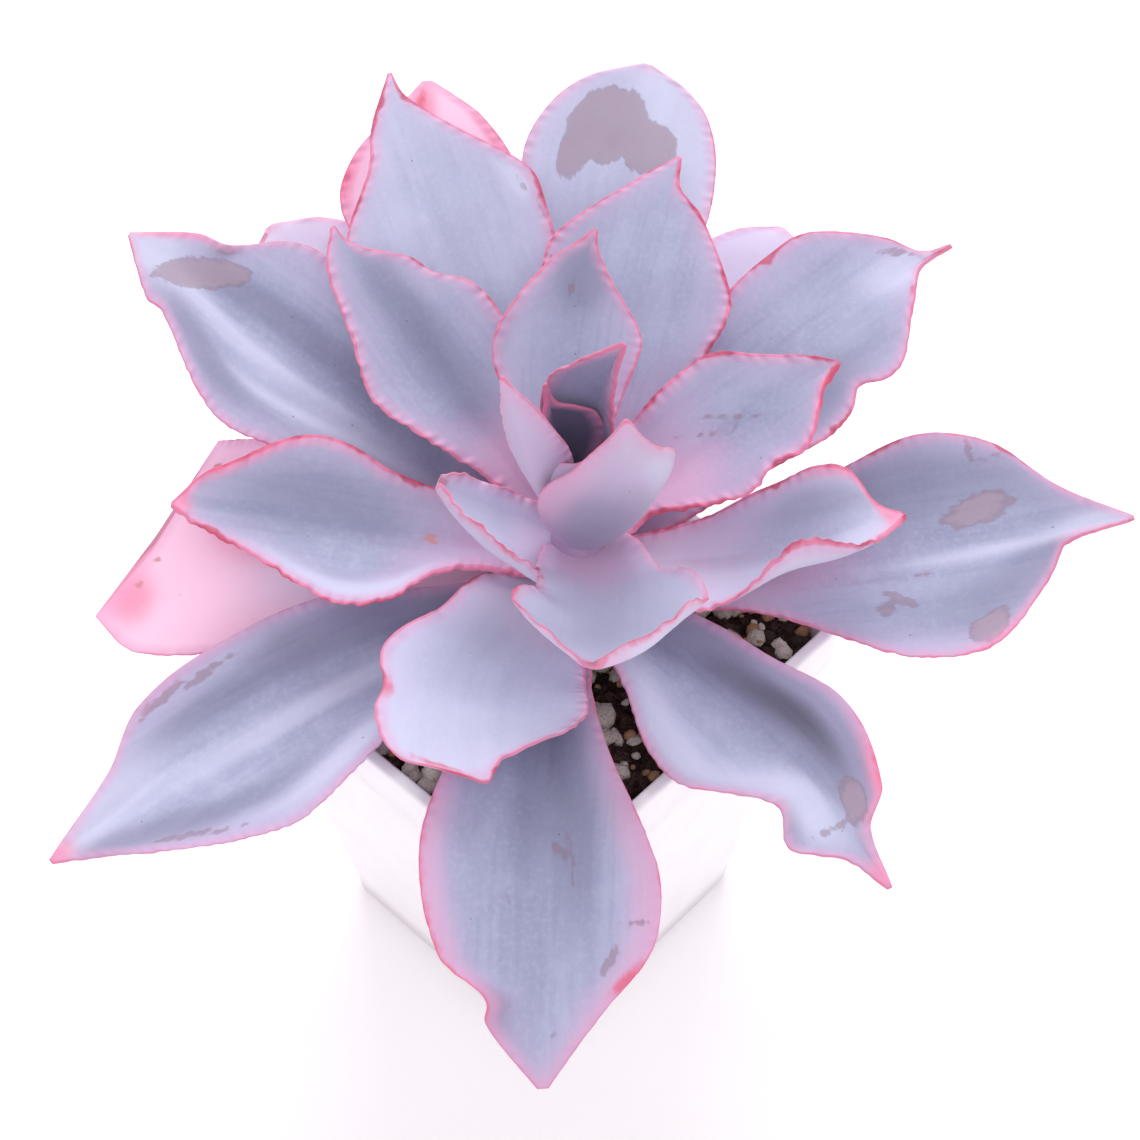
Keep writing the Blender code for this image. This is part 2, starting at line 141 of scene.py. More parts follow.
leaves = {
    "outer_leaf_1": dict(
        azimuth=106, rise=8, length=103, height=2.8, ruffle=0.5, pale=0.45, tone=1,
        left=((0, 4), (0.4, 12), (0.7, 18), (0.86, 15.5), (0.95, 9), (1, 1)),
        right=((0, 4), (0.4, 12), (0.7, 18), (0.86, 16), (0.95, 10), (1, 1)),
    ),
    "outer_leaf_2": dict(
        azimuth=173, rise=12, length=109, height=4.2, phase=0.2, pale=0.45, tone=1,
        left=((0, 4), (0.4, 13), (0.7, 20), (0.86, 16), (0.95, 9), (1, 1)),
        right=((0, 4), (0.4, 13), (0.7, 20), (0.86, 18), (0.95, 11), (1, 1)),
        marksAndShading=dict(
            rust=((0.98, 0.8, 4, 3, 0),),
        ),
    ),
    "outer_leaf_3": dict(
        azimuth=150, rise=15, length=124, height=7.2, sway=0.03, pale=0.85, tone=0.2, redness=0.5,
        left=((0, 5), (0.4, 13), (0.65, 22), (0.77, 25.5), (0.86, 20), (0.94, 9), (1, 1)),
        right=((0, 5), (0.4, 13), (0.65, 18), (0.8, 17), (0.91, 11.5), (0.97, 5), (1, 1)),
        marksAndShading=dict(
            hot=((0.81, 0.95, 18, 4, 0), (0.93, 0.2, 16, 6, 0), (0.85, -0.9, 24, 3, 0)),
            flush=((0.81, 0.97, 10, 2, 0), (0.96, 0.3, 5, 3, 0)),
        ),
    ),
    "outer_leaf_4": dict(
        azimuth=-143, length=88.5, height=8.5, sway=-0.02, cupTip=5, phase=0.4, pale=1.0, redness=0.3,
        slant=0.12,
        left=((0, 4), (0.35, 14), (0.6, 21.5), (0.78, 26), (0.88, 26.5), (0.94, 24.5), (1, 17)),
        right=((0, 4), (0.35, 14), (0.6, 23), (0.8, 29), (1, 28.5)),
        marksAndShading=dict(
            hot=((0.8, -0.25, 18, 12, -25), (0.97, 0.6, 8, 12, 0)),
            rust=(
                (0.93, -0.75, 5, 3, 20), (0.96, -0.5, 3, 3, 0), (0.97, 0.1, 2.5, 3, 0),
                (0.97, 0.45, 2, 2, 0),
            ),
            flush=((0.95, -0.35, 1.5, 1, 0),),
            light=((0.55, 0.2, 30, 20, 0),),
        ),
    ),
    "outer_leaf_5": dict(
        azimuth=49.5, rise=8, length=117, height=8, sway=-0.02, phase=0.1, blush=0.2, tone=-0.2,
        redness=0.5,
        left=((0, 5), (0.3, 15), (0.5, 24.5), (0.65, 28.5), (0.78, 24), (0.88, 11), (1, 0.5)),
        right=((0, 4), (0.3, 9.5), (0.5, 24), (0.6, 26.5), (0.7, 24), (0.82, 10), (0.86, 3.5), (1, 0.5)),
        marksAndShading=dict(
            dark=((0.55, 0.6, 70, 16, 0), (0.75, -0.55, 40, 12, 0)),
            light=((0.94, 0.1, 18, 6, 0), (0.72, -0.05, 40, 4, 0)),
            glow=((0.3, 0.1, 40, 16, 0),),
            bruise=(
                (0.72, 0.33, 19, 7, 18), (0.54, -0.38, 9, 3, -40), (0.51, -0.5, 5, 3, 0),
                (0.6, -0.17, 5, 2, 0), (0.685, -0.82, 10, 7, 0), (0.73, 0.88, 1.6, 7, 0),
                (0.76, 0.8, 7, 1.6, 30),
            ),
            hot=((0.7, -1, 14, 3, 0),),
            rust=((0.49, 0.07, 1.5, 1.5, 0),),
        ),
    ),
    "outer_leaf_6": dict(
        azimuth=126, rise=17, length=121, height=10.5, sway=0.02, phase=0.6, tone=0.6,
        left=((0, 5), (0.4, 13.5), (0.65, 22), (0.78, 24), (0.88, 20), (0.95, 12.5), (1, 1)),
        right=((0, 5), (0.4, 13.5), (0.65, 20.5), (0.8, 21), (0.9, 17), (0.96, 10), (1, 1)),
        marksAndShading=dict(
            light=((0.82, -0.7, 50, 14, 0),),
            bruise=((0.86, 0.3, 20, 18, 0), (0.83, -0.2, 14, 15, -20), (0.79, 0.55, 14, 7, 0)),
            dark=((0.83, 0.18, 5, 4, 0),),
        ),
    ),
    "outer_leaf_7": dict(
        azimuth=-50, rise=4, length=103, height=12, arch=0.1, sway=-0.03, phase=0.3, blush=0.1, tone=-0.2,
        redness=0.35,
        left=((0, 5.5), (0.25, 8), (0.6, 22.5), (0.7, 23.5), (0.78, 21), (0.87, 12.5), (1, 1)),
        right=((0, 5.5), (0.3, 14), (0.45, 21.5), (0.6, 24.5), (0.78, 19.5), (0.85, 11), (0.89, 10.5),
               (1, 1)),
        folds=((-1, 0.84, 0.03, 2.5, 0.5),),
        marksAndShading=dict(
            dark=((0.38, -0.12, 46, 8, 0), (0.5, 0.3, 40, 8, 0), (0.865, -0.9, 9, 6, 0)),
            glow=((0.66, 0.9, 60, 8, 0), (0.66, -0.92, 60, 6, 0)),
            bruise=(
                (0.715, 0.82, 1, 5, 0), (0.75, 0.7, 5, 1, 0), (0.79, 0.66, 6, 2.4, 0),
                (0.575, 0.2, 3, 3.5, 0), (0.59, 0.26, 9, 1.4, 0), (0.58, 0.1, 8, 1.1, 0),
                (0.68, -0.3, 5, 1.4, 0), (0.91, 0.3, 1.5, 1.5, 0),
            ),
            flush=((0.82, 0.95, 7, 4, 0), (0.66, -1, 34, 1.6, 0)),
        ),
    ),
    "outer_leaf_8": dict(
        azimuth=-172, rise=15, length=120, height=13, sway=-0.035, phase=0.8, blush=0.25, tone=-0.15,
        redness=0.3,
        left=((0, 5), (0.3, 13), (0.6, 26.5), (0.71, 24), (0.86, 12.5), (0.9, 11.5), (1, 0.5)),
        right=((0, 5), (0.35, 13), (0.7, 21), (0.76, 19), (0.84, 10.5), (0.9, 8.5), (1, 0.5)),
        marksAndShading=dict(
            bruise=((0.855, -0.05, 20, 8.5, 38), (0.8, -0.35, 7, 6, 0), (0.84, -0.85, 4, 2.5, 0)),
            light=((0.95, 0, 20, 14, 0), (0.66, 0.3, 60, 4, 0), (0.5, 0.55, 50, 4, 0)),
            dark=((0.68, -0.15, 50, 8, 0), (0.74, 0.7, 36, 7, 0), (0.84, -0.85, 5, 4, 0)),
            hot=((0.93, -1, 18, 3, 0),),
        ),
    ),
    "outer_leaf_9": dict(
        azimuth=-104.2, rise=3, length=117, height=15, sway=-0.05, cupFoot=40, cupTip=20, phase=0.5,
        blush=0.1, redness=0.1,
        left=((0, 5), (0.25, 12), (0.42, 20), (0.6, 26), (0.7, 23.5), (0.85, 14), (0.92, 7.5), (1, 0.5)),
        right=((0, 5), (0.25, 13), (0.4, 18.5), (0.55, 19.5), (0.74, 16), (0.84, 8), (1, 0.5)),
        marksAndShading=dict(
            dark=((0.3, -0.65, 60, 10, 0), (0.62, -0.45, 50, 6, 0), (0.78, 0.6, 60, 7, 0)),
            light=((0.45, 0.1, 90, 5, 0), (0.88, -0.35, 34, 9, 0), (0.45, 0.78, 50, 6, 0)),
            bruise=(
                (0.7, -0.86, 14, 2, 0), (0.62, -0.8, 12, 2, 0), (0.8, 0.8, 12, 1.8, 0),
                (0.74, 0.84, 8, 1.5, 0),
            ),
            hot=((0.99, 0, 8, 6, 0),),
        ),
    ),
    "outer_leaf_10": dict(
        azimuth=-6, rise=6, length=88, height=16, sway=0.06, phase=0.9, blush=0.15, tone=-0.35,
        redness=0.25,
        left=((0, 6), (0.24, 10.5), (0.4, 12.5), (0.59, 17), (0.8, 11), (0.86, 4), (1, 0.5)),
        right=((0, 5), (0.2, 14), (0.35, 21), (0.47, 23.5), (0.54, 22), (0.7, 9.5), (0.79, 13),
               (0.83, 12.5), (0.9, 4.5), (1, 0.5)),
        marksAndShading=dict(
            dark=((0.42, 0.3, 50, 12, 0), (0.6, 0.5, 36, 8, 0), (0.76, -0.85, 8, 5, 0)),
            light=((0.42, -0.75, 40, 9, 0), (0.75, -0.3, 20, 9, 0)),
            bruise=((0.79, 0.42, 10, 6, 0), (0.82, -0.1, 1.4, 12, 0)),
            hot=((0.77, 1, 16, 5, 0), (0.98, 0, 8, 6, 0)),
            flush=((0.77, 1, 10, 1.6, 0),),
        ),
    ),
    "outer_leaf_11": dict(
        azimuth=84.5, rise=14, length=108, height=15, sway=0.065, phase=0.15, tone=-0.1, redness=0.7,
        left=((0, 5), (0.3, 12), (0.5, 18.5), (0.74, 21.5), (0.8, 19), (0.9, 9), (0.94, 2.5), (1, 0.5)),
        right=((0, 5), (0.3, 16), (0.5, 22.5), (0.6, 21), (0.65, 17.5), (0.7, 20), (0.76, 19),
               (0.87, 7.5), (0.92, 1.5), (1, 0.5)),
        marksAndShading=dict(
            dark=((0.5, -0.6, 50, 14, 0),),
            glow=((0.35, -0.2, 30, 12, 0),),
            light=((0.88, 0.1, 20, 9, 0),),
            bruise=((0.9, 0.55, 6, 2, 0),),
            flush=((0.88, -0.8, 3, 2, 0), (0.85, -0.95, 3, 1.5, 0)),
            rust=((0.98, 0, 6, 4, 0),),
        ),
    ),
    "outer_leaf_12": dict(
        azimuth=155, rise=18, length=117, height=18, phase=0.35, tone=0.45, redness=0.8,
        left=((0, 5), (0.3, 12), (0.55, 22), (0.68, 23.5), (0.82, 12.5), (0.9, 8.5), (1, 0.5)),
        right=((0, 5), (0.3, 13), (0.5, 21), (0.65, 23), (0.73, 22), (0.88, 7.5), (0.95, 1.5), (1, 0.5)),
        marksAndShading=dict(
            bruise=((0.64, -0.95, 5, 1.5, 0), (0.69, -0.86, 4, 1, 0)),
            light=((0.71, -0.82, 7, 3, 0),),
        ),
    ),
    "middle_leaf_1": dict(
        azimuth=119.4, rise=19, length=90, height=22, phase=0.7, crinkle=0.28, blush=0.42, tone=-0.15,
        redness=0.8,
        left=((0, 5.5), (0.3, 13), (0.5, 21), (0.65, 24), (0.74, 22), (0.92, 8), (1, 0.5)),
        right=((0, 5.5), (0.3, 11), (0.5, 16.5), (0.62, 19.5), (0.7, 17.5), (0.86, 8), (0.92, 2),
               (1, 0.5)),
    ),
    "middle_leaf_2": dict(
        azimuth=-64.5, rise=20, length=53, height=20, start=8, sway=-0.16, phase=0.25, crinkle=0.28,
        tone=0.6, redness=0.6,
        left=((0, 8), (0.3, 18), (0.65, 22), (0.74, 20.5), (0.81, 17.5), (0.91, 5), (1, 0.5)),
        right=((0, 8), (0.16, 16), (0.36, 17), (0.55, 22.5), (0.67, 20), (0.76, 21), (0.85, 19.5),
               (0.9, 16.5), (0.96, 6), (1, 0.5)),
        marksAndShading=dict(
            dark=((0.2, -0.3, 30, 14, 0),),
            flush=((0.68, -0.97, 4, 3, 0), (0.93, -0.8, 4, 3, 0)),
            light=((0.85, 0, 14, 30, 0),),
        ),
    ),
    "middle_leaf_3": dict(
        azimuth=-141, rise=9, length=80, height=24, cupTip=30, phase=0.05, crinkle=0.28, blush=0.38,
        tone=-0.25, redness=0.9,
        left=((0, 5), (0.2, 5), (0.3, 9), (0.4, 16.5), (0.5, 20), (0.58, 19.5), (0.78, 10), (0.94, 4),
              (1, 0.5)),
        right=((0, 5), (0.2, 11), (0.45, 15), (0.56, 19), (0.64, 20.5), (0.72, 19), (0.87, 11), (0.93, 8),
               (1, 0.5)),
        marksAndShading=dict(
            dark=((0.62, -0.3, 34, 12, 0),),
            light=((0.5, 0.8, 40, 5, 0),),
            rust=((0.32, -0.1, 4, 3, 0),),
            hot=((0.82, -1, 36, 4, 0), (0.98, 0, 5, 6, 0)),
            flush=((0.84, -1, 26, 1.8, 0),),
        ),
    ),
    "middle_leaf_4": dict(
        azimuth=49.5, rise=9, length=64, height=24, sway=-0.05, phase=0.45, crinkle=0.28, blush=0.5,
        tone=0.4, redness=0.9,
        left=((0, 5), (0.3, 9), (0.65, 15.5), (0.77, 16.5), (0.88, 13.5), (0.92, 5.5), (1, 0.5)),
        right=((0, 5), (0.15, 11), (0.3, 15.5), (0.4, 16.5), (0.6, 15), (0.72, 13), (0.83, 8.5), (1, 0.5)),
        folds=((-1, 0.62, 0.2, 10, 9),),
        marksAndShading=dict(
            light=((0.35, -0.6, 40, 10, 0), (0.9, -0.3, 14, 9, 0)),
            dark=((0.75, 0.5, 24, 8, 0),),
            hot=((0.88, 1, 24, 5, 0), (0.98, 0, 6, 6, 0)),
            flush=((0.88, 1, 14, 1.6, 0),),
        ),
    ),
    "middle_leaf_5": dict(
        azimuth=172.5, rise=19, length=83, height=27, phase=0.75, crinkle=0.28, blush=0.38, tone=-0.3,
        redness=0.6,
        left=((0, 5), (0.22, 5.5), (0.4, 12.5), (0.53, 16.5), (0.6, 16), (0.71, 12.5), (0.91, 7),
              (1, 0.5)),
        right=((0, 5.5), (0.3, 14), (0.5, 18), (0.62, 18.5), (0.69, 17), (0.75, 12.5), (0.82, 10),
               (0.93, 1.5), (1, 0.5)),
        marksAndShading=dict(
            dark=((0.6, -0.1, 40, 10, 0),),
            glow=((0.2, 0, 20, 20, 0),),
        ),
    ),
    "middle_leaf_6": dict(
        azimuth=75.7, rise=21, length=62, height=29, sway=0.02, phase=0.65, crinkle=0.28, blush=0.5,
        tone=-0.35, redness=0.85,
        left=((0, 7), (0.2, 13.5), (0.33, 16), (0.6, 18.5), (0.69, 17), (0.78, 12), (0.93, 5), (1, 0.5)),
        right=((0, 4), (0.18, 3.5), (0.3, 8.5), (0.45, 13.5), (0.53, 14), (0.62, 12), (0.72, 13),
               (0.8, 10.5), (0.9, 4), (1, 0.5)),
        marksAndShading=dict(
            glow=((0.3, -0.1, 24, 16, 0),),
            bruise=((0.5, 0.2, 9, 0.9, -35), (0.57, 0.28, 9, 0.8, -35), (0.62, 0.05, 4, 0.8, 0)),
            flush=((0.9, -1, 12, 1.6, 0),),
            hot=((0.9, -1, 18, 3, 0),),
        ),
    ),
    "inner_leaf_1": dict(
        azimuth=-44, rise=28, length=44.5, height=34.5, start=1, sway=0.1, cupTip=50, ruffle=1.6,
        phase=0.55, crinkle=0.3, tone=1.3, redness=0.35, hookFrom=0.6, hookUp=2,
        left=((0, 9), (0.38, 14), (0.5, 19), (0.6, 21.5), (0.7, 21.5), (0.82, 19.5), (0.92, 15), (1, 4)),
        right=((0, 9), (0.2, 13.5), (0.45, 15), (0.62, 17), (0.77, 21), (0.88, 16), (1, 3)),
        folds=((-1, 0.75, 0.2, 2, 1), (1, 0.85, 0.2, 3, 1.5)),
        marksAndShading=dict(
            light=((0.75, 0, 34, 36, 0),),
            flush=((0.78, -1, 8, 2.5, 0), (0.9, 1, 9, 2, 0), (0.65, 1, 10, 1.6, 0)),
            glow=((0.15, 0, 20, 20, 0),),
        ),
    ),
    "inner_leaf_2": dict(
        azimuth=130.6, rise=33, length=59, height=35, sway=0.07, phase=0.95, crinkle=0.22, blush=0.2,
        tone=-0.15, redness=0.6,
        left=((0, 6), (0.25, 10), (0.43, 14), (0.55, 16.5), (0.65, 15), (0.86, 7.5), (0.95, 2.5),
              (1, 0.5)),
        right=((0, 6), (0.25, 9), (0.6, 15), (0.7, 13.5), (0.88, 4.5), (0.95, 1.5), (1, 0.5)),
        marksAndShading=dict(
            bruise=((0.83, 0.18, 1.5, 1, 0), (0.78, 0.15, 2, 1.2, 0)),
            dark=((0.85, 0, 16, 12, 0),),
        ),
    ),
    "inner_leaf_3": dict(
        azimuth=-148, rise=26, length=30, height=34, start=3, cupFoot=50, cupTip=55, roll=-12, ruffle=1.0,
        phase=0.85, crinkle=0.3, blush=0.45, tone=1.3, redness=0.35,
        left=((0, 18), (0.15, 21), (0.35, 21.5), (0.6, 18), (0.85, 10), (1, 2.5)),
        right=((0, 5), (0.35, 5.5), (0.6, 5), (0.85, 4.5), (1, 2.5)),
        folds=((1, 0.45, 0.5, 7.5, 6),),
        marksAndShading=dict(
            light=((0.7, -0.1, 26, 16, 0),),
            flush=((0.5, 1, 12, 2, 0), (0.75, 1, 5, 2, 0)),
            rust=((0.97, -0.6, 2, 2, 0),),
        ),
    ),
    "heart_leaf_1": dict(
        azimuth=-8, rise=83.5, length=56, height=40.2, start=4.6, arch=-0.05, cupFoot=60, cupTip=50,
        roll=-25, ruffle=0.3, phase=0.2, blush=0.5, tone=-0.2, redness=0.45,
        left=((0, 9), (0.22, 14.5), (0.42, 16), (0.55, 14.5), (0.68, 9.5), (0.85, 4), (1, 0.4)),
        right=((0, 10), (0.12, 13.5), (0.25, 15), (0.38, 15), (0.6, 10.5), (0.8, 5.5), (1, 0.5)),
        marksAndShading=dict(
            glow=((0.4, -0.85, 40, 8, 0),),
            dark=((0.3, -0.2, 30, 18, 0),),
            light=((0.55, 0.7, 20, 9, 0),),
        ),
    ),
    "heart_leaf_2": dict(
        azimuth=-140, rise=77.6, length=57, height=39, start=3, cupFoot=60, cupTip=40, roll=75,
        ruffle=0.3, phase=0.4, tone=0.1, redness=0.45,
        left=((0, 2.5), (0.42, 7), (0.7, 5.5), (0.9, 2), (1, 0.4)),
        right=((0, 2.5), (0.42, 7), (0.7, 5.5), (0.9, 2), (1, 0.4)),
    ),
    # its dark tone is painted shade inside the heart of the rosette
    "heart_leaf_3": dict(
        azimuth=102, rise=83, length=49.5, height=41, start=7.5, sway=0.06, cupFoot=60, cupTip=45,
        ruffle=0.3, phase=0.6, blush=0.2, tone=-0.8, redness=0.55,
        left=((0, 3), (0.3, 8), (0.55, 12), (0.72, 11), (0.82, 7.5), (0.9, 4.5), (1, 0.4)),
        right=((0, 11), (0.3, 10), (0.6, 4.5), (0.8, 2), (1, 0.5)),
    ),
    # its tone of -2 is painted shade deep inside the heart of the rosette
    "heart_leaf_4": dict(
        azimuth=170, rise=75, length=35, height=45, start=3.5, cupFoot=60, cupTip=50, ruffle=0.2,
        phase=0.8, blush=0.2, tone=-2,
        left=((0, 2.5), (0.5, 5.5), (0.75, 3.5), (0.86, 1.2), (1, 0.4)),
        right=((0, 2.5), (0.3, 6), (0.5, 9.5), (0.7, 9), (0.78, 5), (0.84, 1.5), (1, 0.4)),
    ),
    "heart_leaf_5": dict(
        azimuth=-45, rise=100, length=21, height=48.5, start=5, cupFoot=60, cupTip=50, ruffle=0.8,
        phase=0.1, blush=0.6, tone=0.4,
        left=((0, 5), (0.4, 8), (0.75, 8.5), (0.88, 5), (0.94, 2), (1, 0.4)),
        right=((0, 5), (0.4, 8), (0.75, 8.5), (0.88, 5), (0.94, 2), (1, 0.4)),
    ),
}


def leafMiddle(leaf, u, v):
    # Middle surface of a leaf. Along it runs the spine: the chord, plus a parabola upwards and one
    # sideways, plus the square of the way past hookFrom for the bent end. Across it lies a circular
    # arc, and waves and folds lift the margins.
    turn, rise = math.radians(leaf["azimuth"]), math.radians(leaf["rise"])
    chord = np.array((math.cos(rise) * math.cos(turn), math.cos(rise) * math.sin(turn), math.sin(rise)))
    upward = np.array((-math.sin(rise) * math.cos(turn), -math.sin(rise) * math.sin(turn), math.cos(rise)))
    leftward = np.array((-math.sin(turn), math.cos(turn), 0.0))
    base = np.array((leaf["start"] * math.cos(turn), leaf["start"] * math.sin(turn), leaf["height"]))
    bend = upward * leaf["arch"] + leftward * leaf["sway"]
    hook = upward * leaf["hookUp"] + leftward * leaf["hookSide"]
    bent = 1 - leaf["hookFrom"]
    past = np.clip((u - leaf["hookFrom"]) / bent, 0, 2)[..., None]
    along = (u + leaf["slant"] * v * np.clip(u, 0, 2) ** 4)[..., None]
    spine = base + leaf["length"] * (chord * along + bend * 4 * along * (1 - along)) + hook * past**2
    tangent = chord + bend * 4 * (1 - 2 * along) + hook * 2 * past / (bent * leaf["length"])
    tangent /= np.linalg.norm(tangent, axis=-1, keepdims=True)
    side = leftward - tangent * (tangent @ leftward)[..., None]
    side /= np.linalg.norm(side, axis=-1, keepdims=True)
    normal = np.cross(tangent, side)
    roll = np.radians(leaf["roll"] + leaf["twist"] * u)[..., None]
    rolled = side * np.cos(roll) + normal * np.sin(roll)
    normal = normal * np.cos(roll) - side * np.sin(roll)
    half = leafHalfWidth(leaf, u, v)
    cup = np.radians(leaf["cupFoot"] + (leaf["cupTip"] - leaf["cupFoot"]) * u)
    across = half * np.sin(cup * v) / cup
    lift = half * (1 - np.cos(cup * v)) / cup
    swing = np.sin(2 * np.pi * (leaf["waves"] * u + leaf["phase"] + 0.3 * np.sign(v)))
    inside = np.sin(np.pi * np.clip(u, 0, 1))
    lift = lift + leaf["ruffle"] * v**4 * swing * inside
    lift = lift - leaf["channel"] * np.exp(-((v / 0.3) ** 2)) * inside
    for margin, place, spread, height, pull in leaf["folds"]:
        weight = np.exp(-(((u - place) / spread) ** 2)) * np.clip(v * margin, 0, 1) ** 2.5
        lift = lift + height * weight
        across = across - margin * pull * weight
    return spine + rolled * across[..., None] + normal * lift[..., None]


def smoothThrough(stations, at):
    # cubic curve through (place, value) stations, its slope at each the slope between its neighbours
    place, value = np.array(stations, dtype=float).T
    slope = np.gradient(value, place)
    slope[1:-1] = (value[2:] - value[:-2]) / (place[2:] - place[:-2])
    k = np.clip(np.searchsorted(place, at, side="right") - 1, 0, len(place) - 2)
    span = place[k + 1] - place[k]
    t = np.clip((at - place[k]) / span, 0, 1)
    start = value[k] * (1 + 2 * t) * (1 - t) ** 2 + slope[k] * span * t * (1 - t) ** 2
    return start + value[k + 1] * t**2 * (3 - 2 * t) + slope[k + 1] * span * t**2 * (t - 1)


def leafHalfWidth(leaf, u, v):
    # the curve through the left stations on the left of the midrib, through the right ones on the right
    return np.where(v > 0, smoothThrough(leaf["left"], u), smoothThrough(leaf["right"], u)).clip(0.15)


# The blade of every leaf in millimetres: how thick it is along the midrib and at the margin, the leaf
# length below which it gets thinner, the lengths of its fine margin waves, how wide a strip they
# fill, and how fine its grid is.
blade = dict(
    thick=2.5, margin=0.55, thinBelow=70, waves=(2.3, 3.4, 5.2, 7.5), rim=3.0, rowsPerMm=2.6,
    rows=(80, 280), columns=30,
)


def leafShape(leaf, seed):
    # The closed leaf: its middle surface moved half the thickness each way, where the thickness falls
    # with the square of the way out and a little towards the tip. Sines of a few wavelengths crinkle
    # the margin. Returns points, faces and what the leaf material reads.
    rows = int(np.clip(leaf["length"] * blade["rowsPerMm"], *blade["rows"]))
    columns = blade["columns"]
    strips = np.sin(np.linspace(-1, 1, columns) * np.pi / 2)
    u, v = np.meshgrid(np.linspace(0, 0.999, rows), strips, indexing="ij")
    step = 0.0005
    middle = leafMiddle(leaf, u, v)
    lengthwise = leafMiddle(leaf, u + step, v) - leafMiddle(leaf, u - step, v)
    crosswise = leafMiddle(leaf, u, v + step) - leafMiddle(leaf, u, v - step)
    normal = np.cross(lengthwise, crosswise)
    normal /= np.linalg.norm(normal, axis=-1, keepdims=True)
    half = leafHalfWidth(leaf, u, v)
    length = leaf["length"] * u
    rough = np.random.default_rng(seed)
    crinkle = np.zeros_like(u)
    swell = np.zeros_like(u)
    for wavelength in blade["waves"]:
        shift = rough.uniform(0, 2 * np.pi, 3)
        warp = 0.8 * np.sin(length * 2 * np.pi / 19 + shift[2])
        crinkle += 0.5 * np.sin(length * 2 * np.pi / wavelength + shift[0] + np.sign(v) + warp)
        swell += 0.25 * np.sin(length * 2 * np.pi / (8 * wavelength) + shift[1] + v * rough.uniform(1, 4))
    rim = np.clip(1 - half * (1 - np.abs(v)) / blade["rim"], 0, 1) ** 1.5
    away = np.clip(half / blade["rim"], 0, 1)
    middle = middle + normal * (leaf["crinkle"] * crinkle * rim * away + 0.35 * swell * away)[..., None]
    thickest = blade["thick"] * min(1, leaf["length"] / blade["thinBelow"])
    thick = thickest * (1 - 0.55 * np.clip(u, 0, 1)) * (1 - 0.72 * v**2) + blade["margin"]
    thick = np.minimum(thick, 2 * half + 0.2) * np.sqrt((1 - 0.96 * v**16) * (1 - 0.9 * u**80))
    offset = normal * thick[..., None] / 2
    rings = np.concatenate([middle - offset, (middle + offset)[:, ::-1]], axis=1)
    poles = np.stack([middle[0].mean(axis=0), middle[-1].mean(axis=0)])
    points = np.concatenate([rings.reshape(-1, 3), poles])

    faces = closedRings(rows, 2 * columns)

    def both(top, under=None):
        # one value for each point of the closed leaf, from those of its upper and lower sides
        under = top if under is None else under
        values = np.concatenate([under, top[:, ::-1]], axis=1).reshape(-1, *top.shape[2:])
        return np.concatenate([values, values[:1], values[-1:]])

    edge = np.minimum(half * (1 - np.abs(v)), leaf["length"] * (1 - u))
    # sharp marks hold the millimetres inside their edge, soft ones fade out as a bell curve
    marks = {kind: np.full_like(u, -9.0) for kind in ("bruise", "flush", "rust")}
    # the tone starts the dark and light: partly the leaf's colour, partly painted shade and painted light
    marks.update(dark=np.full_like(u, max(0, -leaf["tone"])), light=np.full_like(u, max(0, leaf["tone"])))
    marks.update(glow=np.zeros_like(u), hot=np.zeros_like(u))
    for kind, ovals in leaf["marksAndShading"].items():
        for place, where, long, broad, turned in ovals:
            angle = math.radians(turned)
            dx = (u - place) * leaf["length"]
            dy = (v - where) * half
            a = (dx * math.cos(angle) + dy * math.sin(angle)) / (long / 2)
            b = (dy * math.cos(angle) - dx * math.sin(angle)) / (broad / 2)
            if kind in ("dark", "light", "glow", "hot"):
                marks[kind] += np.exp(-(a**2 + b**2) * 0.8)
            else:
                marks[kind] = np.maximum(marks[kind], (1 - np.hypot(a, b)) * min(long, broad) / 2)
    sheet = np.stack([v * half, length, np.full_like(u, 37.0 * seed)], axis=-1)
    wide = half / half.max()
    attributes = {
        "edgeMm": both(edge),
        # middle is lowest along the midrib where the leaf is wide, where the skin paints the groove's shade
        "middle": both(1 - np.exp(-((v / 0.45) ** 2)) * wide * (1 - 0.5 * u)),
        "base": both(np.clip(u, 0, 1) / leaf["blush"]),
        "under": both(np.zeros_like(u), np.ones_like(u)),
        "sheetMm": both(sheet),
    }
    for name in ("pale", "redness"):
        attributes[name] = both(np.full_like(u, leaf[name]))
    for name, depth in marks.items():
        attributes[name] = both(depth)
    return points, faces, attributes


def stemFrame():
    # from the stem's own frame in millimetres to the world
    turn = math.radians(stem["leanAzimuth"])
    axis = Vector((-math.sin(turn), math.cos(turn), 0))
    return Matrix.Translation(stem["foot"]) @ Matrix.Rotation(math.radians(stem["lean"]), 4, axis)


def toWorld(points):
    # points turned to the stem's lean and set on its foot
    place = np.array(stemFrame())
    return points @ place[:3, :3].T + place[:3, 3]


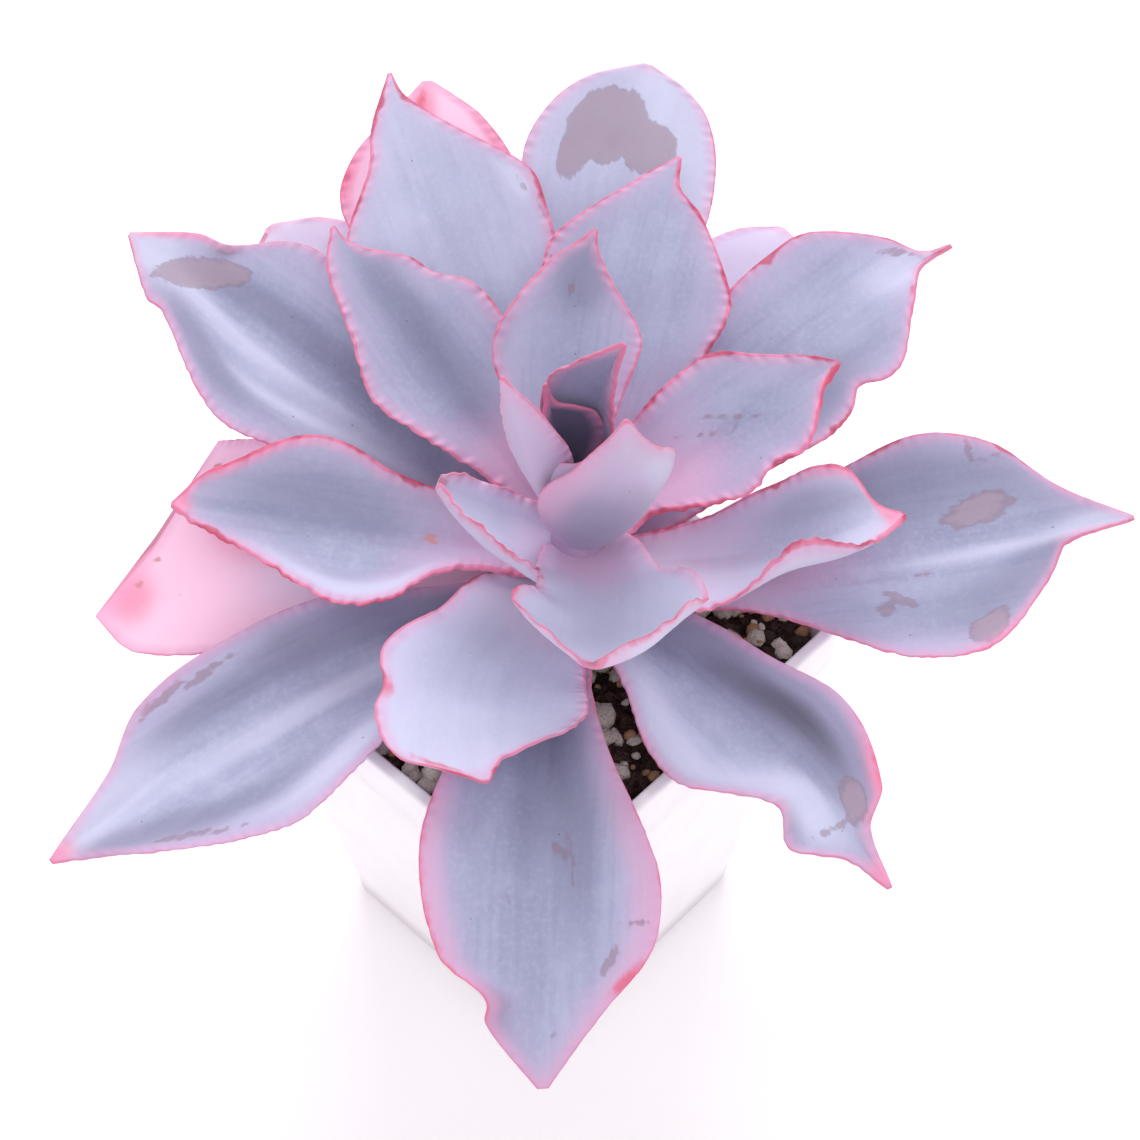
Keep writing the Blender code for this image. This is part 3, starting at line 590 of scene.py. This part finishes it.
# Waxy leaf skin of a rosette succulent: a grey-blue leaf under a powder of wax that scatters light
# evenly, so it looks matte and pale. Where it thins, at the base, the underside and the margin, the
# red sap shows through as lilac and pink. Each layer is (what drives it, where it is full, where it
# ends, strength, colour), painted in this order.
leafLayers = [
    ("bands", 0.62, 0.38, 0.40, "#8C8EAF"),
    # darker along the midrib: painted shade of the groove, partly the leaf's own colour
    ("middle", 0.0, 1.0, 0.38, "#7C7F9F"),
    ("clouds", 0.78, 0.48, 0.28, "#BFC0DC"),
    ("streaks", 0.30, 0.52, 0.22, "#8486A5"),
    ("mottle", 0.80, 0.42, 0.25, "#C4C5DE"),
    ("base", 0.30, 1.30, 0.85, "#CB9BC2"),
    ("halo", 0.5, 11.0, 0.45, "#C2AFD0"),
    ("under", 1.0, 0.0, 1.0, "#C6B4D2"),
    ("pale", 1.0, 0.0, 1.0, "#F8C8E2"),
    # dark and light: partly the leaf's own colour, partly painted shade and painted light
    ("dark", 1.0, 0.0, 0.55, "#686986"),
    # past 1 the dark goes deeper: painted shade inside the heart of the rosette
    ("dark", 2.2, 1.0, 0.85, "#443F55"),
    ("light", 1.0, 0.0, 0.52, "#D8DAF2"),
    ("glow", 1.0, 0.0, 0.55, "#DBA6CB"),
    ("hot", 1.0, 0.0, 0.70, "#EF7C9E"),
    ("bruiseEdge", 0.4, -0.2, 0.50, "#7F6070"),
    ("bruiseEdge", 1.4, 0.1, 0.55, "#A693A4"),
    ("rustEdge", 0.8, 0.0, 0.75, "#C07A78"),
    ("specks", 0.026, 0.040, 0.60, "#5B5068"),
    ("line", 0.4, 3.4, 0.45, "#DD97C0"),
    ("line", 0.0, 0.55, 0.72, "#DC6A8E"),
    ("redLine", 0.0, 1.0, 0.75, "#B83A5A"),
    ("flushEdge", 1.6, -0.6, 0.75, "#D8506F"),
]
# Noises on the flat leaf: size in millimetres, detail, and the stretch across and along it.
leafNoises = dict(
    bands=(9, 2, (1, 0.1, 1)), clouds=(7, 4, (1, 1, 1)), ragged=(1.6, 5, (1, 0.5, 1)),
    streaks=(1.5, 3, (1, 0.06, 1)), mottle=(1.2, 4, (1, 1, 1)),
    wander=(5, 3, (0.3, 1, 1)), patches=(9, 3, (0.2, 1, 1)), grain=(0.45, 2, (1, 1, 1)),
)


def makeLeafSkin():
    made, tree, shader = newMaterial("waxyLeafSkin")
    sheet = addNode(tree, "Attribute", attribute_name="sheetMm").outputs["Vector"]
    read = {}
    for name in ("edgeMm", "middle", "base", "under", "pale", "redness", "dark", "light", "glow", "hot",
                 "bruise", "flush", "rust"):
        read[name] = addNode(tree, "Attribute", attribute_name=name).outputs["Fac"]
    for name, (size, detail, stretch) in leafNoises.items():
        place = addNode(tree, "Mapping", {0: sheet, 3: stretch}).outputs[0]
        read[name] = addNode(tree, "TexNoise", {0: place, "Scale": 1 / size, "Detail": detail}).outputs[0]
    # dark specks, one to each cell of 7 mm
    read["specks"] = addNode(tree, "TexVoronoi", {0: sheet, "Scale": 1 / 7}).outputs["Distance"]
    # what one layer needs of two others: first + second * amount, which makes edges wander
    for name, first, second, amount in (
        ("line", "edgeMm", "wander", 1.2), ("line", "line", "redness", -1.0),
        ("bruiseEdge", "bruise", "ragged", 3.0), ("rustEdge", "rust", "ragged", 4.0),
        ("flushEdge", "flush", "ragged", 3.0), ("base", "base", "clouds", 0.5),
        ("halo", "edgeMm", "clouds", 8.0),
        ("redEdge", "edgeMm", "patches", 9.0), ("redLine", "redEdge", "redness", -3.0),
    ):
        inputs = {0: read[second], 1: amount, 2: read[first]}
        read[name] = addNode(tree, "Math", inputs, operation="MULTIPLY_ADD").outputs[0]
    # a noise is 0.5 on average, so what it adds on average is taken off again
    for name, middle in (
        ("line", 0.2), ("bruiseEdge", 1.5), ("rustEdge", 2.0), ("flushEdge", 1.5), ("base", 0.25),
        ("redLine", 1.4), ("halo", 4.0),
    ):
        read[name] = addNode(tree, "Math", {0: read[name], 1: middle}, operation="SUBTRACT").outputs[0]

    body = linear("#ABADCB")
    for name, full, ends, strength, colour in leafLayers:
        inputs = {0: read[name], 1: full, 2: ends, 3: strength, 4: 0.0}
        amount = addNode(tree, "MapRange", inputs, interpolation_type="SMOOTHSTEP").outputs[0]
        body = addNode(tree, "Mix", {0: amount, 6: body, 7: linear(colour)}, data_type="RGBA").outputs[2]
    tree.links.new(body, shader.inputs["Base Color"])

    # ribs 1.6 mm apart that cross the margin, broad waves and the grain of the powder
    lines = {0: sheet, "Scale": 0.1, "Distortion": 4, "Detail": 2}
    ribs = addNode(tree, "TexWave", lines, bands_direction="Y")
    nearMargin = addNode(tree, "MapRange", {0: read["edgeMm"], 1: 0.3, 2: 3.0, 3: 0.2, 4: 0.0}).outputs[0]
    height = addNode(tree, "Math", {0: ribs.outputs["Fac"], 1: nearMargin}, operation="MULTIPLY").outputs[0]
    for name, amount in (("grain", 0.05), ("bands", 0.9), ("clouds", 0.3)):
        inputs = {0: read[name], 1: amount, 2: height}
        height = addNode(tree, "Math", inputs, operation="MULTIPLY_ADD").outputs[0]
    bump = addNode(tree, "Bump", {"Height": height, "Strength": 0.5, "Distance": 0.001})
    tree.links.new(bump.outputs[0], shader.inputs["Normal"])
    shader.inputs["Roughness"].default_value = 0.6
    shader.inputs["Specular IOR Level"].default_value = 0.35
    shader.inputs["Sheen Weight"].default_value = 0.15
    shader.inputs["Sheen Roughness"].default_value = 0.5
    return made


def makeLeaves():
    skin = makeLeafSkin()
    for number, (name, own) in enumerate(leaves.items()):
        points, faces, attributes = leafShape({**plainLeaf, **own}, number + 1)
        addPiece(name.replace("_leaf_", "Leaf"), toWorld(points), faces, skin, [name], attributes)
    print("leaves made:", len(leaves))


# Moulded polypropylene: satin, faintly see-through white, with soft highlights at its rounded edges.
# Its edges are rounded to edge millimetres, and the collar stands out by step.
pot = dict(
    height=100, rim=100, foot=71, collar=11, step=1.2, lip=3, wall=2.2, floor=3, edge=0.8, rimRadius=9,
    footRadius=7, drain=4, drainOffset=17,
)


def roundedSquare(width, radius, z, count):
    # points round a square with round corners: the unit circle's direction picks the corner's centre
    turn = 2 * np.pi * (np.arange(count) + 0.5) / count
    x, y = np.cos(turn), np.sin(turn)
    stretch = np.stack([x, y], axis=-1)
    squared = stretch / np.maximum(np.abs(x), np.abs(y))[:, None] * width / 2
    inner = width / 2 - radius
    centre = np.clip(squared, -inner, inner)
    away = squared - centre
    far = np.linalg.norm(away, axis=-1, keepdims=True)
    flat = (np.abs(centre) < inner - 1e-6).any(axis=-1)[:, None]
    corner = centre + away / np.maximum(far, 1e-9) * radius
    return np.column_stack([np.where(flat, squared, corner), np.full(count, z)])


def drillDrains(shell):
    # four holes through the floor, cut by upright rods that are then removed
    count = 48
    turn = 2 * np.pi * np.arange(count) / count
    for side in range(4):
        x = pot["drainOffset"] * (1 if side % 2 else -1)
        y = pot["drainOffset"] * (1 if side // 2 else -1)
        ring = np.stack([x + pot["drain"] * np.cos(turn), y + pot["drain"] * np.sin(turn)], axis=-1)
        low = np.column_stack([ring, np.full(count, -2.0)])
        high = np.column_stack([ring, np.full(count, pot["floor"] + 2.0)])
        rod = bpy.data.meshes.new("rod")
        ends = [list(range(count))[::-1], list(range(count, 2 * count))]
        points = np.concatenate([low, high]) * mm
        rod.from_pydata(points.tolist(), [], gridFaces(2, count).tolist() + ends)
        drill = bpy.data.objects.new("rod", rod)
        bpy.context.scene.collection.objects.link(drill)
        cut = shell.modifiers.new("drain", "BOOLEAN")
        cut.operation = "DIFFERENCE"
        cut.solver = "EXACT"
        cut.object = drill
        solid = bpy.data.meshes.new_from_object(shell.evaluated_get(bpy.context.evaluated_depsgraph_get()))
        shell.modifiers.clear()
        shell.data = solid
        bpy.data.objects.remove(drill)


def makePot():
    made, tree, shader = newMaterial("mouldedPolypropylene")
    place = addNode(tree, "TexCoord").outputs["Object"]
    # orange peel of the mould, 0.6 mm across, and faint scuffs
    peel = addNode(tree, "TexNoise", {0: place, "Scale": 1 / (0.6 * mm), "Detail": 2})
    scuffs = addNode(tree, "TexNoise", {0: place, "Scale": 1 / (9 * mm), "Detail": 6})
    whites = {0: scuffs.outputs[0], 6: linear("#FBF8FB"), 7: linear("#F3EEF3")}
    white = addNode(tree, "Mix", whites, data_type="RGBA").outputs[2]
    # painted shade where the pot stands on the floor: darker over the lowest 10 mm
    up = addNode(tree, "SeparateXYZ", {0: place}).outputs["Z"]
    reach = {0: up, 1: 10 * mm, 2: 0.0, 3: 0.0, 4: 0.85}
    low = addNode(tree, "MapRange", reach, interpolation_type="SMOOTHSTEP").outputs[0]
    footShaded = addNode(tree, "Mix", {0: low, 6: white, 7: linear("#D8CFD5")}, data_type="RGBA")
    tree.links.new(footShaded.outputs[2], shader.inputs["Base Color"])
    rough = addNode(tree, "MapRange", {0: scuffs.outputs[0], 3: 0.3, 4: 0.5})
    tree.links.new(rough.outputs[0], shader.inputs["Roughness"])
    bump = addNode(tree, "Bump", {"Height": peel.outputs[0], "Strength": 0.08, "Distance": 0.0005})
    tree.links.new(bump.outputs[0], shader.inputs["Normal"])

    # Square rings stacked along a profile of (width, corner radius, height): up the tapered outside,
    # out to the collar, over the lip, down the inside. Quarter circles round its edges.
    height, rim, wall = pot["height"], pot["rim"], pot["wall"]
    lip, step, edge = pot["lip"], pot["step"], pot["edge"]
    under = height - pot["collar"]

    def outer(z):
        # the outside below the collar: width and corner radius grow evenly with height
        share = z / height
        width = pot["foot"] + (rim - 2 * step - pot["foot"]) * share
        return width, pot["footRadius"] + (pot["rimRadius"] - pot["footRadius"]) * share

    profile = []
    width, radius = outer(0)
    for angle in np.radians(np.linspace(0, 90, 5)):
        inset = edge * (1 - math.sin(angle))
        profile.append((width - 2 * inset, radius - inset, edge * (1 - math.cos(angle))))
    for z in (20, 40, 60, 75, under - step - 0.4):
        profile.append((*outer(z), z))
    profile.append((rim - 2 * step * 0.55, pot["rimRadius"], under - 0.4))
    profile.append((rim - 0.5, pot["rimRadius"], under))
    profile.append((rim, pot["rimRadius"], under + 0.5))
    for angle in np.radians(np.linspace(0, 90, 5)):
        inset = edge * (1 - math.cos(angle))
        profile.append((rim - 2 * inset, pot["rimRadius"] - inset, height - edge + edge * math.sin(angle)))
    inside = rim - 2 * lip
    for angle in np.radians(np.linspace(90, 0, 5)):
        inset = edge * (1 - math.cos(angle))
        rounded = height - edge + edge * math.sin(angle)
        profile.append((inside + 2 * inset, pot["rimRadius"] - lip + inset, rounded))
    for z in (under, 50, pot["floor"]):
        width, radius = outer(z)
        profile.append((width - 2 * wall, radius - wall, z))
    count = 240
    rings = np.concatenate([roundedSquare(width, radius, z, count) for width, radius, z in profile])
    points = np.concatenate([rings, [(0, 0, 0), (0, 0, pot["floor"])]])
    rows = len(profile)
    faces = closedRings(rows, count)
    shell = addPiece("potShell", points, faces, made, ["pot"])
    drillDrains(shell)
    print("pot made")


# Moist potting mix: dark, open and matt, with clods that catch little light. The ground rises by
# mound in the middle, and share says how much of it is left at each reach out to the walls. It starts
# at footLevel, footWidth across.
ground = dict(
    level=93.5, mound=1.8, reach=(0.25, 0.5, 0.8, 1.0), share=(1.0, 0.9, 0.6, 0.0), halfWidth=45.4,
    cornerRadius=6.4, footLevel=3.3, footWidth=64,
)


def groundHeight(x, y):
    # the mound falls off from the middle to the walls
    away = np.maximum(np.abs(x), np.abs(y)) / ground["halfWidth"]
    return ground["level"] + ground["mound"] * np.interp(away, ground["reach"], ground["share"])


def crumble(x, y):
    # lumps of packed soil: a sum of plane waves 2 to 9 mm long in seeded directions, higher where long
    rough = np.random.default_rng(5)
    height = np.zeros_like(x)
    for wavelength in (2.0, 2.4, 2.9, 3.5, 4.3, 5.2, 6.4, 7.6, 9.0) * 3:
        turn, shift = rough.uniform(0, 2 * np.pi, 2)
        way = x * math.cos(turn) + y * math.sin(turn)
        height += 0.05 * wavelength**0.8 * np.sin(2 * np.pi / wavelength * way + shift)
    return np.clip(height, -0.9, 0.9)


def makeSoil():
    made, tree, shader = newMaterial("moistPottingMix")
    place = addNode(tree, "TexCoord").outputs["Object"]
    # clods 3 mm across and grit 0.7 mm across, dark brown where moist and tan where dry
    clods = addNode(tree, "TexNoise", {0: place, "Scale": 1 / (3 * mm), "Detail": 6, "Roughness": 0.7})
    grit = addNode(tree, "TexVoronoi", {0: place, "Scale": 1 / (0.7 * mm)})
    dryness = addNode(tree, "MapRange", {0: clods.outputs[0], 1: 0.4, 2: 0.75})
    browns = {0: dryness.outputs[0], 6: linear("#2B1D1C"), 7: linear("#7A5D50")}
    brown = addNode(tree, "Mix", browns, data_type="RGBA")
    gritty = {0: 0.35, 6: brown.outputs[2], 7: grit.outputs["Color"]}
    tone = addNode(tree, "Mix", gritty, data_type="RGBA", blend_type="MULTIPLY")
    tree.links.new(tone.outputs[2], shader.inputs["Base Color"])
    relief = addNode(tree, "Math", {0: clods.outputs[0], 1: grit.outputs["Distance"]}, operation="ADD")
    bump = addNode(tree, "Bump", {"Height": relief.outputs[0], "Strength": 0.8, "Distance": 0.0008})
    tree.links.new(bump.outputs[0], shader.inputs["Normal"])
    shader.inputs["Roughness"].default_value = 0.92
    shader.inputs["Specular IOR Level"].default_value = 0.2

    # square rings up from the pot's floor, then shrinking ones over the ground, lifted by its lumps
    count, width = 360, 2 * ground["halfWidth"]
    rings = [roundedSquare(ground["footWidth"], 4, ground["footLevel"], count)]
    rings.append(roundedSquare(width * 0.86, 5, 50, count))
    for scale in np.linspace(1, 0.015, 110):
        ring = roundedSquare(width * scale, ground["cornerRadius"] * scale, 0, count)
        x, y = ring[:, 0], ring[:, 1]
        ring[:, 2] = groundHeight(x, y) + crumble(x, y) * min(1, (1.02 - scale) * 20)
        rings.append(ring)
    rows = len(rings)
    poles = [(0, 0, ground["footLevel"]), (0, 0, ground["level"] + ground["mound"])]
    points = np.concatenate(rings + [poles])
    faces = closedRings(rows, count)
    addPiece("soilBody", points, faces, made, ["soil"])
    print("soil made")


# Grains on the soil: how many, their sizes, flatness and colours. Pumice is pale grey foam stone,
# chalky and pitted; baked clay is tan and smooth; bark crumbs are dark and fibrous.
grains = {
    "pumiceGrit": dict(
        count=560, small=1.4, large=7.0, flat=0.75, colours=("#DED4CB", "#A3958B"), seed=11, slot="pumice",
    ),
    "clayGrit": dict(
        count=380, small=1.2, large=4.6, flat=0.8, colours=("#B98F6C", "#8A6448"), seed=12, slot="soil",
    ),
    "barkCrumbs": dict(
        count=420, small=0.8, large=3.4, flat=0.6, colours=("#3A2822", "#22181A"), seed=13, slot="soil",
    ),
}
# The seven pumice stones large enough to pick out: x, y, size.
bigPumice = [
    (27.5, -28.0, 6.4), (32.0, -19.5, 5.2), (36.5, -30.5, 7.0), (20.0, -35.5, 5.0), (-24.0, -38.0, 5.6),
    (39.0, 8.0, 4.8), (-38.5, -12.5, 5.4),
]


def pebble(detail):
    # a cube of detail x detail faces a side, blown up to a sphere of radius 1
    steps = np.linspace(-1, 1, detail + 1)
    a, b = np.meshgrid(steps, steps, indexing="ij")
    one = np.ones_like(a)
    sides = [(a, b, one), (b, a, -one), (one, a, b), (-one, b, a), (b, one, a), (a, -one, b)]
    points = np.concatenate([np.stack(side, axis=-1).reshape(-1, 3) for side in sides])
    row, column = np.meshgrid(np.arange(detail), np.arange(detail), indexing="ij")
    corner = row * (detail + 1) + column
    quad = np.stack([corner, corner + detail + 1, corner + detail + 2, corner + 1], axis=-1).reshape(-1, 4)
    faces = np.concatenate([quad + side * (detail + 1) ** 2 for side in range(6)])
    points, index = np.unique(np.round(points, 6), axis=0, return_inverse=True)
    return points / np.linalg.norm(points, axis=-1, keepdims=True), index.reshape(-1)[faces]


def scatter(spots, sizes, flat, seed, detail):
    # copies of one pebble, each stretched, dented by four plane waves, turned and set on the soil
    rough = np.random.default_rng(seed)
    shape, faces = pebble(detail)
    number = len(spots)
    stretch = rough.uniform(0.75, 1.2, (number, 1, 3))
    grown = shape[None] * stretch
    for _ in range(4):
        way = rough.normal(size=(number, 1, 3))
        shift = rough.uniform(0, 6, (number, 1, 1))
        grown = grown * (1 + 0.10 * np.sin((shape[None] * way).sum(-1, keepdims=True) * 2.6 + shift))
    grown[..., 2] *= flat
    turn = rough.uniform(0, 2 * np.pi, (number, 1))
    tilt = rough.uniform(-0.5, 0.5, (number, 1))
    x, y, z = grown[..., 0], grown[..., 1], grown[..., 2]
    x, z = x * np.cos(tilt) - z * np.sin(tilt), x * np.sin(tilt) + z * np.cos(tilt)
    x, y = x * np.cos(turn) - y * np.sin(turn), x * np.sin(turn) + y * np.cos(turn)
    grown = np.stack([x, y, z], axis=-1) * sizes[:, None, None] / 2
    bottom = grown[..., 2].min(axis=1)
    x, y = spots[:, 0], spots[:, 1]
    resting = np.stack([x, y, groundHeight(x, y) + crumble(x, y) - bottom * 0.55], axis=-1)
    points = (grown + resting[:, None]).reshape(-1, 3)
    allFaces = (faces[None] + (np.arange(number) * len(shape))[:, None, None]).reshape(-1, 4)
    tone = np.repeat(rough.uniform(0, 1, number), len(shape))
    return points, allFaces.tolist(), {"grainTone": tone}


def makeGrainMaterial(name, colours, pits):
    # dry stone or bark: matt, each grain its own shade, clouded at 1.5 mm and pitted at 0.8 mm, with
    # painted shade darkening the pits
    made, tree, shader = newMaterial(name)
    place = addNode(tree, "TexCoord").outputs["Object"]
    tone = addNode(tree, "Attribute", attribute_name="grainTone").outputs["Fac"]
    cloud = addNode(tree, "TexNoise", {0: place, "Scale": 1 / (1.5 * mm), "Detail": 5, "Roughness": 0.7})
    blend = addNode(tree, "Math", {0: tone, 1: cloud.outputs[0]}, operation="MULTIPLY")
    shades = {0: blend.outputs[0], 6: linear(colours[0]), 7: linear(colours[1])}
    base = addNode(tree, "Mix", shades, data_type="RGBA")
    holes = addNode(tree, "TexVoronoi", {0: place, "Scale": 1 / (0.8 * mm)})
    # painted shade: the pits darker, by as much as pits says
    hole = addNode(tree, "MapRange", {0: holes.outputs["Distance"], 1: 0.1, 2: 0.35, 3: pits, 4: 0.0})
    shaded = {0: hole.outputs[0], 6: base.outputs[2], 7: linear("#4A3D3A")}
    dark = addNode(tree, "Mix", shaded, data_type="RGBA")
    tree.links.new(dark.outputs[2], shader.inputs["Base Color"])
    bump = addNode(tree, "Bump", {"Height": holes.outputs["Distance"], "Strength": 0.6, "Distance": 0.0004})
    tree.links.new(bump.outputs[0], shader.inputs["Normal"])
    shader.inputs["Roughness"].default_value = 0.88
    return made


def makeGrains():
    chalky = makeGrainMaterial("pumiceStone", grains["pumiceGrit"]["colours"], 0.55)
    for number, (x, y, size) in enumerate(bigPumice):
        points, faces, tones = scatter(np.array([(x, y)]), np.array([size]), 0.75, 20 + number, 8)
        stands = [f"pumice_{number + 1}"]
        addPiece(f"pumiceStone{number + 1}", points, faces, chalky, stands, tones)
    reach = ground["halfWidth"] - 1.5
    for name, kind in grains.items():
        rough = np.random.default_rng(kind["seed"])
        spots = rough.uniform(-reach, reach, (kind["count"], 2))
        sizes = kind["small"] + (kind["large"] - kind["small"]) * rough.beta(1.2, 2.5, kind["count"])
        points, faces, tones = scatter(spots, sizes, kind["flat"], kind["seed"], 2)
        finish = chalky if name == "pumiceGrit" else makeGrainMaterial(name + "Skin", kind["colours"], 0.2)
        addPiece(name, points, faces, finish, (), tones)
    print("grains scattered")


def makeStem():
    # Corky stem bark: dry, matt and olive brown, ringed by the scars of fallen leaves 8.8 mm apart.
    made, tree, shader = newMaterial("corkyStemBark")
    place = addNode(tree, "TexCoord").outputs["Object"]
    rings = addNode(tree, "TexNoise", {0: place, "Scale": 1 / (2.5 * mm), "Detail": 5})
    barks = {0: rings.outputs[0], 6: linear("#9A9468"), 7: linear("#5E5A3C")}
    bark = addNode(tree, "Mix", barks, data_type="RGBA")
    # the young top, above 30 mm over the soil, has the lilac skin of the leaves
    high = addNode(tree, "SeparateXYZ", {0: place}).outputs["Z"]
    young = addNode(tree, "MapRange", {0: high, 1: 122 * mm, 2: 128 * mm}).outputs[0]
    skin = addNode(tree, "Mix", {0: young, 6: bark.outputs[2], 7: linear("#B59CBC")}, data_type="RGBA")
    tree.links.new(skin.outputs[2], shader.inputs["Base Color"])
    bump = addNode(tree, "Bump", {"Height": rings.outputs[0], "Strength": 0.6, "Distance": 0.0006})
    tree.links.new(bump.outputs[0], shader.inputs["Normal"])
    shader.inputs["Roughness"].default_value = 0.75
    # radius swells at each leaf scar, then closes to a blunt growing tip
    count, rows = 48, 90
    h = np.linspace(-stem["depth"], stem["top"], rows)
    radius = stem["radius"] + 0.25 * np.sin(h * 2 * np.pi / 8.8)
    radius = radius * np.clip((stem["top"] - h) / 13, 0.0, 1) ** 0.55
    turn = 2 * np.pi * np.arange(count) / count
    r = radius[:, None] + 0.12 * np.sin(5 * turn + h[:, None] / 3)
    r[-1] = 0.2
    up = np.repeat(h[:, None], count, 1)
    points = np.stack([r * np.cos(turn), r * np.sin(turn), up], axis=-1).reshape(-1, 3)
    points = np.concatenate([points, [(0, 0, -stem["depth"]), (0, 0, stem["top"])]])
    faces = closedRings(rows, count)
    addPiece("stemCore", toWorld(points), faces, made, ["stem"])
    print("stem made")


# The camera in degrees and millimetres, and how strong the soft room light and the two lamps are.
view = dict(azimuth=44, elevation=47.7, roll=-0.8, distance=407.5, target=(-5.36, 17.07, 100), lens=56.84)
light = dict(world=0.84, key=10, fill=3)


def makeStage():
    # Matt white sweep: painted board, so bright that it holds only a soft trace of shadow.
    made, tree, shader = newMaterial("paleSweep")
    place = addNode(tree, "TexCoord").outputs["Object"]
    cloud = addNode(tree, "TexNoise", {0: place, "Scale": 3.0, "Detail": 2})
    boards = {0: cloud.outputs[0], 6: linear("#FDFBFC"), 7: linear("#FAF7F9")}
    tint = addNode(tree, "Mix", boards, data_type="RGBA")
    tree.links.new(tint.outputs[2], shader.inputs["Base Color"])
    shader.inputs["Roughness"].default_value = 0.8
    shader.inputs["Emission Color"].default_value = linear("#FFFFFF")
    shader.inputs["Emission Strength"].default_value = 0.06
    mesh = bpy.data.meshes.new("floor")
    mesh.from_pydata([(-3, -3, 0), (3, -3, 0), (3, 3, 0), (-3, 3, 0)], [], [(0, 1, 2, 3)])
    mesh.materials.append(made)
    floor = bpy.data.objects.new("floor", mesh)
    bpy.context.scene.collection.objects.link(floor)


def makeLights():
    world = bpy.data.worlds.new("softbox room")
    bpy.context.scene.world = world
    world.use_nodes = True
    world.node_tree.nodes["Background"].inputs[0].default_value = linear("#FFFDFF")
    world.node_tree.nodes["Background"].inputs[1].default_value = light["world"]
    for name, power, size, place in (
        ("key", light["key"], 0.9, (-0.5, 0.55, 1.1)),
        ("fill", light["fill"], 1.0, (0.8, -0.6, 0.9)),
    ):
        lamp = bpy.data.lights.new(name, "AREA")
        lamp.energy = power
        lamp.size = size
        holder = bpy.data.objects.new(name, lamp)
        holder.location = place
        holder.rotation_euler = (Vector((0, 0, 0.1)) - Vector(place)).to_track_quat("-Z", "Y").to_euler()
        bpy.context.scene.collection.objects.link(holder)


def makeCamera():
    # looks at the target from the distance, turned round by the azimuth and tipped down by the elevation
    turn, tip = math.radians(view["azimuth"]), math.radians(view["elevation"])
    right = Vector((math.cos(turn), math.sin(turn), 0))
    away = Vector((-math.sin(turn), math.cos(turn), 0))
    forward = away * math.cos(tip) - Vector((0, 0, math.sin(tip)))
    up = right.cross(forward)
    roll = math.radians(view["roll"])
    x = right * math.cos(roll) + up * math.sin(roll)
    y = x.cross(forward)
    place = (Vector(view["target"]) - forward * view["distance"]) * mm
    lens = bpy.data.cameras.new("camera")
    lens.lens = view["lens"]
    lens.sensor_width = 36
    lens.clip_start = 0.01
    camera = bpy.data.objects.new("camera", lens)
    turned = Matrix((x, y, -forward)).transposed().to_4x4()
    camera.matrix_world = Matrix.Translation(place) @ turned
    bpy.context.scene.collection.objects.link(camera)
    bpy.context.scene.camera = camera


bpy.context.scene.view_settings.view_transform = "Standard"
makeCamera()
makeLights()
makeStage()
makePot()
makeSoil()
makeGrains()
makeStem()
makeLeaves()
